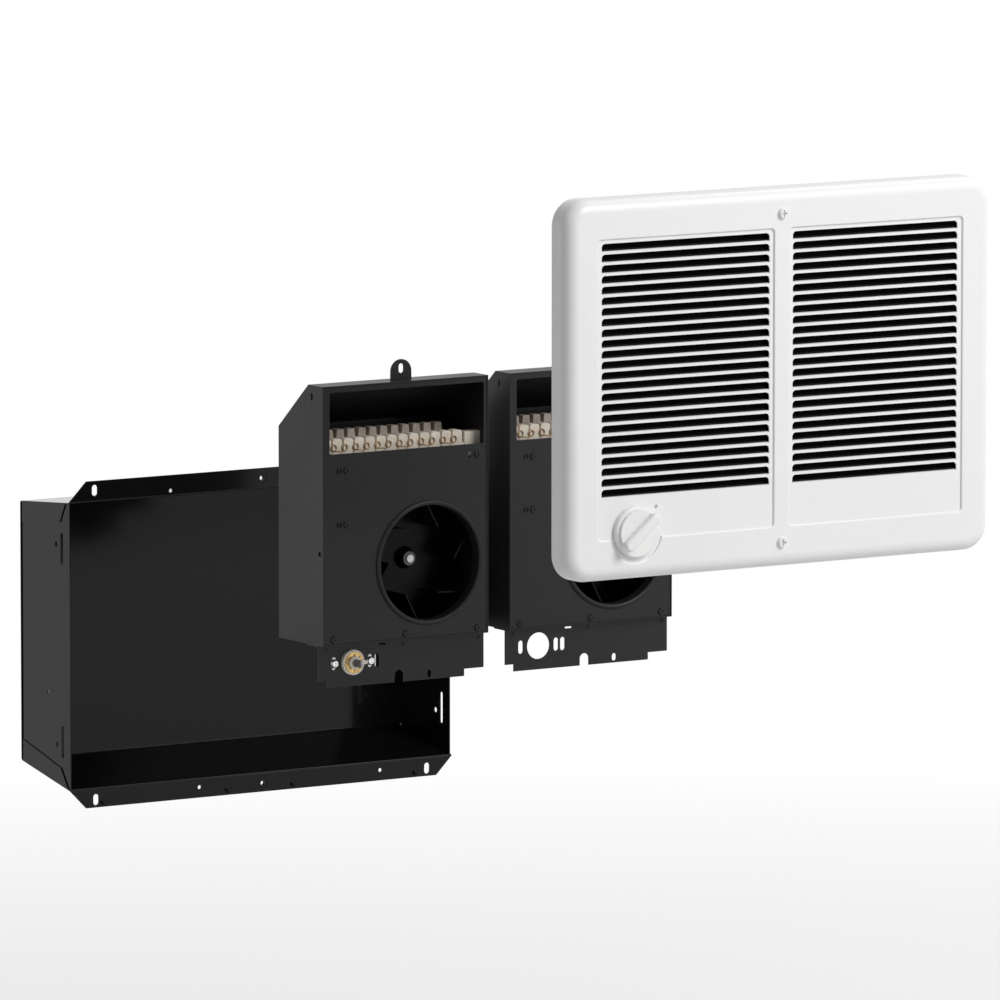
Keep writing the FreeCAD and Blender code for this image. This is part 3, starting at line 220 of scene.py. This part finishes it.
def makeSpeckle(shape):
    group, entry, leave = newGroup(
        "speckle",
        {
            "Light": (0.8, 0.8, 0.8, 1.0),
            "Dark": (0.2, 0.2, 0.2, 1.0),
            "Cloud Scale": 60.0,
            "Grain Scale": 1800.0,
            "Grain Share": 0.35,
        },
        {"Color": "NodeSocketColor", "Height": "NodeSocketFloat"},
    )
    spot = addNode(group, "ShaderNodeTexCoord")
    cloud = addScaledNoise(group, entry, spot, "Cloud Scale", **shape["cloud"])
    grain = addScaledNoise(group, entry, spot, "Grain Scale", **shape["grain"])
    blend = addNode(group, "ShaderNodeMix", data_type="FLOAT")
    wire(group, entry.outputs["Grain Share"], blend.inputs[mixFactor])
    for place, noise in zip(floatPair, (cloud, grain)):
        wire(group, noise, blend.inputs[place])
    low, high = shape["reach"]
    spread = addNode(group, "ShaderNodeMapRange", From_Min=low, From_Max=high)
    wire(group, blend.outputs[0], spread.inputs["Value"])
    tint = mixColors(
        group, spread.outputs["Result"], entry.outputs["Light"], entry.outputs["Dark"])
    wire(group, tint, leave.inputs["Color"])
    wire(group, grain, leave.inputs["Height"])
    return group


# brushing: long streaks along one axis, as rolled or drawn metal shows
brushingShape = {"detail": 3.0, "rough": 0.6, "reach": (0.3, 0.7)}


def makeBrushing(shape):
    group, entry, leave = newGroup(
        "brushing",
        {"Across": 1400.0, "Along": 30.0, "Low": 0.25, "High": 0.45},
        {"Roughness": "NodeSocketFloat", "Height": "NodeSocketFloat"},
    )
    spot = addNode(group, "ShaderNodeTexCoord")
    stretch = addNode(group, "ShaderNodeCombineXYZ")
    for axis, label in (("X", "Along"), ("Y", "Across"), ("Z", "Across")):
        wire(group, entry.outputs[label], stretch.inputs[axis])
    scaled = addNode(group, "ShaderNodeVectorMath", operation="MULTIPLY")
    wire(group, spot.outputs["Object"], scaled.inputs[0])
    wire(group, stretch.outputs["Vector"], scaled.inputs[1])
    streak = addNode(
        group, "ShaderNodeTexNoise", Scale=1.0, Detail=shape["detail"], Roughness=shape["rough"])
    wire(group, scaled.outputs["Vector"], streak.inputs["Vector"])
    level = addReach(group, entry, streak.outputs["Fac"], shape["reach"], "Low", "High")
    wire(group, level, leave.inputs["Roughness"])
    wire(group, streak.outputs["Fac"], leave.inputs["Height"])
    return group


paintSkin = makePaintSkin(paintSkinShape)
speckle = makeSpeckle(speckleShape)
brushing = makeBrushing(brushingShape)


def startMaterial(name):
    material = bpy.data.materials.new(name)
    material.use_nodes = True
    tree = material.node_tree
    tree.nodes.clear()
    surface = tree.nodes.new("ShaderNodeBsdfPrincipled")
    output = tree.nodes.new("ShaderNodeOutputMaterial")
    wire(tree, surface.outputs["BSDF"], output.inputs["Surface"])
    return material, tree, surface


def addGroup(tree, group, values):
    node = tree.nodes.new("ShaderNodeGroup")
    node.node_tree = group
    for label, value in values.items():
        node.inputs[label].default_value = value
    return node


def addBump(tree, surface, height, strength, distance):
    bump = addNode(tree, "ShaderNodeBump", Strength=strength, Distance=distance)
    wire(tree, height, bump.inputs["Height"])
    wire(tree, bump.outputs["Normal"], surface.inputs["Normal"])


# painted sheet and moulded plastic
paintShared = {"coatRough": 0.08, "bumpDeep": 0.0004}
paints = {
    "can_black": {
        "color": (0.004, 0.004, 0.0043), "drifted": (0.006, 0.006, 0.0064),
        "sheen": (0.1, 0.14), "peel": 700.0, "bump": 0.03, "coat": 0.0, "level": 0.2,
    },
    # lint screen: a guessed part, kept near black and barely reflecting so that it stands in for
    # the shade inside the grille
    "screen_black": {
        "color": (0.002, 0.002, 0.002), "drifted": (0.003, 0.003, 0.003),
        "sheen": (0.8, 0.9), "peel": 2400.0, "bump": 0.3, "coat": 0.0, "level": 0.02,
    },
    "case_black": {
        "color": (0.01, 0.01, 0.0105), "drifted": (0.014, 0.014, 0.0145),
        "sheen": (0.36, 0.46), "peel": 1100.0, "bump": 0.1, "coat": 0.0, "level": 0.24,
    },
    "wheel_black": {
        "color": (0.002, 0.002, 0.0022), "drifted": (0.003, 0.003, 0.0032),
        "sheen": (0.22, 0.3), "peel": 900.0, "bump": 0.05, "coat": 0.0, "level": 0.09,
    },
    "screw_black": {
        "color": (0.012, 0.012, 0.013), "drifted": (0.02, 0.02, 0.022),
        "sheen": (0.3, 0.42), "peel": 1500.0, "bump": 0.05, "coat": 0.0, "level": 0.3,
    },
    "switch_black": {
        "color": (0.015, 0.014, 0.013), "drifted": (0.025, 0.023, 0.021),
        "sheen": (0.4, 0.55), "peel": 1300.0, "bump": 0.08, "coat": 0.0, "level": 0.5,
    },
    "ground_green": {
        "color": (0.012, 0.08, 0.024), "drifted": (0.02, 0.1, 0.034),
        "sheen": (0.3, 0.4), "peel": 1300.0, "bump": 0.05, "coat": 0.1, "level": 0.5,
    },
    "grille_white": {
        "color": (0.83, 0.83, 0.825), "drifted": (0.86, 0.86, 0.857),
        "sheen": (0.3, 0.38), "peel": 1000.0, "bump": 0.07, "coat": 0.05, "level": 0.5,
    },
    "knob_white": {
        "color": (0.84, 0.84, 0.832), "drifted": (0.86, 0.86, 0.855),
        "sheen": (0.26, 0.34), "peel": 1600.0, "bump": 0.05, "coat": 0.0, "level": 0.5,
    },
}


def makePaint(name, finish):
    material, tree, surface = startMaterial(name)
    sheenLow, sheenHigh = finish["sheen"]
    skin = addGroup(tree, paintSkin, {
        "Peel Scale": finish["peel"],
        "Sheen Low": sheenLow,
        "Sheen High": sheenHigh,
    })
    tint = mixColors(
        tree, skin.outputs["Drift"], opaque(finish["color"]), opaque(finish["drifted"]))
    wire(tree, tint, surface.inputs["Base Color"])
    wire(tree, skin.outputs["Roughness"], surface.inputs["Roughness"])
    surface.inputs["Coat Weight"].default_value = finish["coat"]
    surface.inputs["Coat Roughness"].default_value = paintShared["coatRough"]
    surface.inputs["Specular IOR Level"].default_value = finish["level"]
    addBump(tree, surface, skin.outputs["Height"], finish["bump"], paintShared["bumpDeep"])
    return material


# louvre throats: painted shade, the white paint is mixed to near black where the lips turn back
# towards the lint screen, in place of the shade inside the slots
throatShadeShape = {"lipDeep": 0.0032, "fade": 0.0008, "color": (0.012, 0.012, 0.012)}


def paintShadeInThroats(material, shape):
    low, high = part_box("lint_screen")
    middle = (low + high) / 2
    reach = (high - low) / 2
    lipStart = low.y - shape["lipDeep"]
    lipDark = lipStart + shape["fade"]
    tree = material.node_tree
    surface = tree.nodes["Principled BSDF"]
    paintColor = surface.inputs["Base Color"].links[0].from_socket
    spot = addNode(tree, "ShaderNodeTexCoord")
    axes = addNode(tree, "ShaderNodeSeparateXYZ")
    mask = addNode(tree, "ShaderNodeMapRange", From_Min=lipStart, From_Max=lipDark)
    wire(tree, spot.outputs["Object"], axes.inputs["Vector"])
    wire(tree, axes.outputs["Y"], mask.inputs["Value"])
    shade = mask.outputs["Result"]
    for axis, centre, half in (("X", middle.x, reach.x), ("Z", middle.z, reach.z)):
        inside = addNode(tree, "ShaderNodeMath", operation="COMPARE")
        inside.inputs[1].default_value = centre
        inside.inputs[2].default_value = half
        both = addNode(tree, "ShaderNodeMath", operation="MULTIPLY")
        wire(tree, axes.outputs[axis], inside.inputs[0])
        wire(tree, shade, both.inputs[0])
        wire(tree, inside.outputs[0], both.inputs[1])
        shade = both.outputs[0]
    # painted shade: the paint colour is mixed to near black inside the louvre throats
    blend = mixColors(tree, shade, paintColor, opaque(shape["color"]))
    wire(tree, blend, surface.inputs["Base Color"])


def addSpeckle(tree, finish, grainShare):
    return addGroup(tree, speckle, {
        "Light": opaque(finish["light"]),
        "Dark": opaque(finish["dark"]),
        "Cloud Scale": finish["cloud"],
        "Grain Share": grainShare,
    })


# fired ceramics, light body with darker grains
ceramicShared = {"bump": 0.25, "bumpDeep": 0.0003}
ceramics = {
    "ceramic_cream": {
        "light": (0.88, 0.82, 0.72), "dark": (0.66, 0.57, 0.45),
        "cloud": 120.0, "share": 0.45, "rough": 0.72,
    },
    "ceramic_brown": {
        "light": (0.62, 0.54, 0.47), "dark": (0.36, 0.3, 0.25),
        "cloud": 110.0, "share": 0.45, "rough": 0.78,
    },
    "ivory": {
        "light": (0.82, 0.79, 0.72), "dark": (0.72, 0.67, 0.58),
        "cloud": 90.0, "share": 0.4, "rough": 0.6,
    },
}


def makeCeramic(name, finish):
    material, tree, surface = startMaterial(name)
    body = addSpeckle(tree, finish, finish["share"])
    wire(tree, body.outputs["Color"], surface.inputs["Base Color"])
    surface.inputs["Roughness"].default_value = finish["rough"]
    addBump(tree, surface, body.outputs["Height"],
            ceramicShared["bump"], ceramicShared["bumpDeep"])
    return material


# bare and plated metals
metalShared = {"grainShare": 0.2, "bump": 0.06, "bumpDeep": 0.0002}
metals = {
    "galvanised": {
        "light": (0.56, 0.57, 0.58), "dark": (0.4, 0.41, 0.43),
        "cloud": 160.0, "low": 0.34, "high": 0.5,
    },
    "coil_bronze": {
        "light": (0.5, 0.34, 0.18), "dark": (0.24, 0.14, 0.07),
        "cloud": 220.0, "low": 0.35, "high": 0.5,
    },
    # coloured far darker than real bare steel, as painted shade for the parts seen deep inside
    # the heater
    "bare_steel": {
        "light": (0.1, 0.097, 0.094), "dark": (0.06, 0.058, 0.056),
        "cloud": 80.0, "low": 0.34, "high": 0.5,
    },
    "bright_steel": {
        "light": (0.46, 0.46, 0.46), "dark": (0.34, 0.34, 0.34),
        "cloud": 80.0, "low": 0.2, "high": 0.3,
    },
    "brass": {
        "light": (0.6, 0.42, 0.17), "dark": (0.38, 0.25, 0.09),
        "cloud": 260.0, "low": 0.22, "high": 0.34,
    },
    "shaft_grey": {
        "light": (0.26, 0.26, 0.27), "dark": (0.16, 0.16, 0.17),
        "cloud": 300.0, "low": 0.3, "high": 0.45,
    },
    "zinc": {
        "light": (0.78, 0.78, 0.77), "dark": (0.64, 0.64, 0.62),
        "cloud": 240.0, "low": 0.16, "high": 0.28,
    },
}


def makeMetal(name, finish):
    material, tree, surface = startMaterial(name)
    body = addSpeckle(tree, finish, metalShared["grainShare"])
    streaks = addGroup(tree, brushing, {"Low": finish["low"], "High": finish["high"]})
    wire(tree, body.outputs["Color"], surface.inputs["Base Color"])
    wire(tree, streaks.outputs["Roughness"], surface.inputs["Roughness"])
    surface.inputs["Metallic"].default_value = 1.0
    addBump(tree, surface, streaks.outputs["Height"],
            metalShared["bump"], metalShared["bumpDeep"])
    return material


# stacked or wound metal: fine lines across one axis
stackShared = {"waver": 0.4, "bump": 0.4, "bumpDeep": 0.0002}
waveLength = math.pi / 10  # of the wave node's bands at scale 1
stacks = {
    "laminations": {
        "light": (0.36, 0.36, 0.37), "dark": (0.12, 0.12, 0.12),
        "axis": "Y", "pitch": 0.0006, "rough": 0.5,
    },
    "copper_winding": {
        "light": (0.58, 0.27, 0.11), "dark": (0.2, 0.07, 0.03),
        "axis": "Z", "pitch": 0.0007, "rough": 0.34,
    },
}


def makeStack(name, finish):
    material, tree, surface = startMaterial(name)
    spot = addNode(tree, "ShaderNodeTexCoord")
    lines = addNode(tree, "ShaderNodeTexWave", bands_direction=finish["axis"],
                    Distortion=stackShared["waver"], Scale=waveLength / finish["pitch"])
    wire(tree, spot.outputs["Object"], lines.inputs["Vector"])
    tint = mixColors(
        tree, lines.outputs["Fac"], opaque(finish["dark"]), opaque(finish["light"]))
    wire(tree, tint, surface.inputs["Base Color"])
    surface.inputs["Metallic"].default_value = 1.0
    surface.inputs["Roughness"].default_value = finish["rough"]
    addBump(tree, surface, lines.outputs["Fac"], stackShared["bump"], stackShared["bumpDeep"])
    return material


families = (
    (makePaint, paints),
    (makeCeramic, ceramics),
    (makeMetal, metals),
    (makeStack, stacks),
)
finishes = {}
for maker, family in families:
    for slotName, values in family.items():
        finishes[slotName] = maker(slotName, values)
paintShadeInThroats(finishes["grille_white"], throatShadeShape)
for entry in frame["record"]["subparts"]:
    solid = nodes[entry["node"]]
    solid.data.materials.clear()
    solid.data.materials.append(finishes[entry["material_slot"]])
print("materials made:", len(finishes))


# softened edges on pieces that are pressed or fired
softShape = {"segments": 2, "sharpFrom": 40.0, "weld": 0.00001}  # sharpFrom in degrees
softEdges = {
    "ceramic_front": 0.0005,
    "ceramic_rear": 0.0005,
    "element_end_outer": 0.0008,
    "element_end_inner": 0.0008,
}


def softenNode(solid, width, shape):
    weld = solid.modifiers.new("weld", "WELD")
    weld.merge_threshold = shape["weld"]
    bevel = solid.modifiers.new("softEdge", "BEVEL")
    bevel.width = width
    bevel.segments = shape["segments"]
    bevel.limit_method = "ANGLE"
    bevel.angle_limit = math.radians(shape["sharpFrom"])


for stem, width in softEdges.items():
    for hand in hands:
        softenNode(nodes[f"{stem}_{hand}"], width, softShape)
print("edges softened")


def meshObject(name, mesh):
    data = bpy.data.meshes.new(name)
    mesh.to_mesh(data)
    mesh.free()
    return linkObject(name, data)


def finishPiece(name, mesh, bodyName, slotName):
    piece = meshObject(name, mesh)
    piece.data.shade_smooth()
    piece.data.materials.append(finishes[slotName])
    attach(piece, bodyName)
    return piece


# heating coil: curled wire between the ceramic bars, hairpins round their teeth
coilShape = {
    "wire": 0.00045,  # radius
    "sides": 6,
    "crossings": 12,
    "firstAt": 0.07,  # share of a tooth's pitch before the first crossing
    "curl": 0.0027,  # radius of the curls
    "turnPitch": 0.0021,
    "stepsPerTurn": 14,
    "lift": 0.0034,  # straight wire between a bar and the curls
    "loop": 0.0024,  # radius of the turn that shows in front of each gap
    "loopOut": 0.0006,
    "loopSteps": 18,
}


def tube(mesh, shape, start, end):
    run = end - start
    turn = run.to_track_quat("Z", "Y").to_matrix().to_4x4()
    place = Matrix.Translation((start + end) / 2) @ turn
    bmesh.ops.create_cone(mesh, cap_ends=True, segments=shape["sides"], radius1=shape["wire"],
                          radius2=shape["wire"], depth=run.length, matrix=place)


# sweeps a ring of the wire's size round an axis
def spinWire(mesh, shape, place, **sweep):
    ring = bmesh.ops.create_circle(
        mesh, segments=shape["sides"], radius=shape["wire"], matrix=place)
    verts = ring["verts"]
    edges = list(dict.fromkeys(edge for vert in verts for edge in vert.link_edges))
    bmesh.ops.spin(mesh, geom=verts + edges, use_duplicate=False, **sweep)


def curledRun(mesh, shape, x, front, rear, z):
    turns = round((rear - front) / shape["turnPitch"])
    steps = turns * shape["stepsPerTurn"]
    place = Matrix.Translation((x, front, z + shape["curl"]))
    spinWire(mesh, shape, place @ Matrix.Rotation(quarterTurn, 4, "Y"),
             cent=(x, front, z), axis=(0, 1, 0), dvec=(0, (rear - front) / steps, 0),
             angle=2 * math.pi * turns, steps=steps, use_merge=False)


def hairpin(mesh, shape, x, y, z, pitch, way):
    place = Matrix.Translation((x, y, z))
    spinWire(mesh, shape, place @ Matrix.Rotation(quarterTurn, 4, "X"),
             cent=(x + pitch / 2, y, z), axis=(0, 0, way),
             angle=math.pi, steps=shape["stepsPerTurn"], use_merge=False)


def frontLoop(mesh, shape, x, y, z):
    spinWire(mesh, shape, Matrix.Translation((x - shape["loop"], y, z)),
             cent=(x, y, z), axis=(0, 1, 0),
             angle=2 * math.pi, steps=shape["loopSteps"], use_merge=True)


def windCoil(shape, hand):
    coilLow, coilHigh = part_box(f"heating_coil_{hand}")
    barLow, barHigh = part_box(f"ceramic_front_{hand}")
    rearLow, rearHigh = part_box(f"ceramic_rear_{hand}")
    pitch = (coilHigh.x - coilLow.x) / shape["crossings"]
    z = (coilLow.z + coilHigh.z) / 2
    frontFree = barHigh.y + shape["lift"]
    rearFree = rearLow.y - shape["lift"]
    loopFront = barLow.y - shape["loopOut"]
    mesh = bmesh.new()
    for number in range(shape["crossings"]):
        x = coilLow.x + pitch * (number + shape["firstAt"])
        curledRun(mesh, shape, x, frontFree, rearFree, z + shape["curl"] / 2)
        for start, end in ((barLow.y, frontFree), (rearFree, rearHigh.y)):
            tube(mesh, shape, Vector((x, start, z)), Vector((x, end, z)))
        frontLoop(mesh, shape, x + shape["loop"] / 2, loopFront, z + shape["loop"])
        if number < shape["crossings"] - 1:
            atFront = number % 2 == 0
            y = barLow.y if atFront else rearHigh.y
            hairpin(mesh, shape, x, y, z, pitch, 1 if atFront else -1)
    bmesh.ops.recalc_face_normals(mesh, faces=mesh.faces)
    coil = finishPiece(f"curled_coil_{hand}", mesh, f"heater_{hand}", "coil_bronze")
    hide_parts(f"heating_coil_{hand}")


for hand in hands:
    windCoil(coilShape, hand)
print("coils wound")


# small raised mark beside the knob
markShape = {"radius": 0.0013, "rise": 0.0004, "offset": (0.0193, 0.0186), "segments": 24}


def addMark(shape):
    knobLow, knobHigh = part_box("knob")
    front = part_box("grille")[0].y
    right, up = shape["offset"]
    x = (knobLow.x + knobHigh.x) / 2 + right
    z = (knobLow.z + knobHigh.z) / 2 + up
    place = Matrix.Translation((x, front, z)) @ Matrix.Rotation(quarterTurn, 4, "X")
    mesh = bmesh.new()
    bmesh.ops.create_circle(mesh, cap_ends=True, segments=shape["segments"],
                            radius=shape["radius"], matrix=place)
    raised = bmesh.ops.extrude_face_region(mesh, geom=list(mesh.faces))
    seat = [item for item in raised["geom"] if isinstance(item, bmesh.types.BMVert)]
    bmesh.ops.translate(mesh, verts=seat, vec=(0, shape["rise"], 0))
    bmesh.ops.recalc_face_normals(mesh, faces=mesh.faces)
    finishPiece("setting_mark", mesh, "grille", "grille_white")


addMark(markShape)
print("mark added")


# pale floor that fades into the white surround
floorShape = {
    "drop": 0.34,  # below the lowest solid
    "radius": 3.0,
    "segments": 96,
    "fadeFrom": 0.8,
    "fadeTo": 2.7,
    "color": (0.92, 0.92, 0.92),
    "rough": 0.9,
    "seenLift": 0.27,  # glow that only the camera sees
}


def makeFloor(shape):
    low, high = (Vector(corner) for corner in cadBox)
    middle = (low + high) / 2
    centre = Vector((middle.x, middle.y, low.z - shape["drop"]))
    mesh = bmesh.new()
    bmesh.ops.create_circle(mesh, cap_ends=True, segments=shape["segments"],
                            radius=shape["radius"], matrix=Matrix.Translation(centre))
    floor = meshObject("floor", mesh)
    material, tree, surface = startMaterial("floor")
    surface.inputs["Base Color"].default_value = opaque(shape["color"])
    surface.inputs["Roughness"].default_value = shape["rough"]
    surface.inputs["Emission Color"].default_value = white
    ray = addNode(tree, "ShaderNodeLightPath")
    lift = addNode(tree, "ShaderNodeMath", operation="MULTIPLY")
    lift.inputs[1].default_value = shape["seenLift"]
    wire(tree, ray.outputs["Is Camera Ray"], lift.inputs[0])
    wire(tree, lift.outputs[0], surface.inputs["Emission Strength"])
    spot = addNode(tree, "ShaderNodeTexCoord")
    centred = addNode(tree, "ShaderNodeMapping", Location=-centre)
    reach = addNode(tree, "ShaderNodeVectorMath", operation="LENGTH")
    fade = addNode(tree, "ShaderNodeMapRange", From_Min=shape["fadeFrom"],
                   From_Max=shape["fadeTo"], To_Min=1.0, To_Max=0.0)
    wire(tree, spot.outputs["Object"], centred.inputs["Vector"])
    wire(tree, centred.outputs["Vector"], reach.inputs[0])
    wire(tree, reach.outputs["Value"], fade.inputs["Value"])
    wire(tree, fade.outputs["Result"], surface.inputs["Alpha"])
    floor.data.materials.append(material)


makeFloor(floorShape)


# white surround: seen and mirrored as white, dimmer as a source of light
surroundSetup = {"seen": 1.0, "lighting": 0.3}


def makeSurround(setup):
    world = bpy.data.worlds.new("surround")
    bpy.context.scene.world = world
    world.use_nodes = True
    tree = world.node_tree
    tree.nodes.clear()
    ray = tree.nodes.new("ShaderNodeLightPath")
    seen = addNode(tree, "ShaderNodeMath", operation="ADD")
    seenAll = addNode(tree, "ShaderNodeMath", operation="ADD", use_clamp=True)
    level = addNode(
        tree, "ShaderNodeMapRange", To_Min=setup["lighting"], To_Max=setup["seen"])
    light = addNode(tree, "ShaderNodeBackground", Color=white)
    output = tree.nodes.new("ShaderNodeOutputWorld")
    wire(tree, ray.outputs["Is Camera Ray"], seen.inputs[0])
    wire(tree, ray.outputs["Is Glossy Ray"], seen.inputs[1])
    wire(tree, seen.outputs[0], seenAll.inputs[0])
    wire(tree, ray.outputs["Is Transmission Ray"], seenAll.inputs[1])
    wire(tree, seenAll.outputs[0], level.inputs["Value"])
    wire(tree, level.outputs["Result"], light.inputs["Strength"])
    wire(tree, light.outputs["Background"], output.inputs["Surface"])


# lamps aimed where the camera is aimed
lampSetup = {
    "key": {"at": (1.0, -2.8, 2.05), "size": (1.3, 1.3), "watts": 61.0},
    "fill": {"at": (1.9, -3.1, 0.45), "size": (1.5, 0.9), "watts": 7.0},
    "top": {"at": (1.35, -0.3, 2.0), "size": (0.5, 0.6), "watts": 4.5},
    "back": {"at": (-1.7, 2.0, 0.3), "size": (1.2, 0.9), "watts": 1.0},
}


def placeLamps(setup):
    target = Vector(cameraSetup["aim"])
    for name, lamp in setup.items():
        light = bpy.data.lights.new(name, "AREA")
        light.shape = "RECTANGLE"
        light.size, light.size_y = lamp["size"]
        light.energy = lamp["watts"]
        holder = linkObject(name, light)
        holder.location = lamp["at"]
        toLamp = holder.location - target
        holder.rotation_euler = toLamp.to_track_quat("Z", "Y").to_euler()


makeSurround(surroundSetup)
placeLamps(lampSetup)
bpy.context.scene.view_settings.view_transform = "Standard"
print("stage lit")
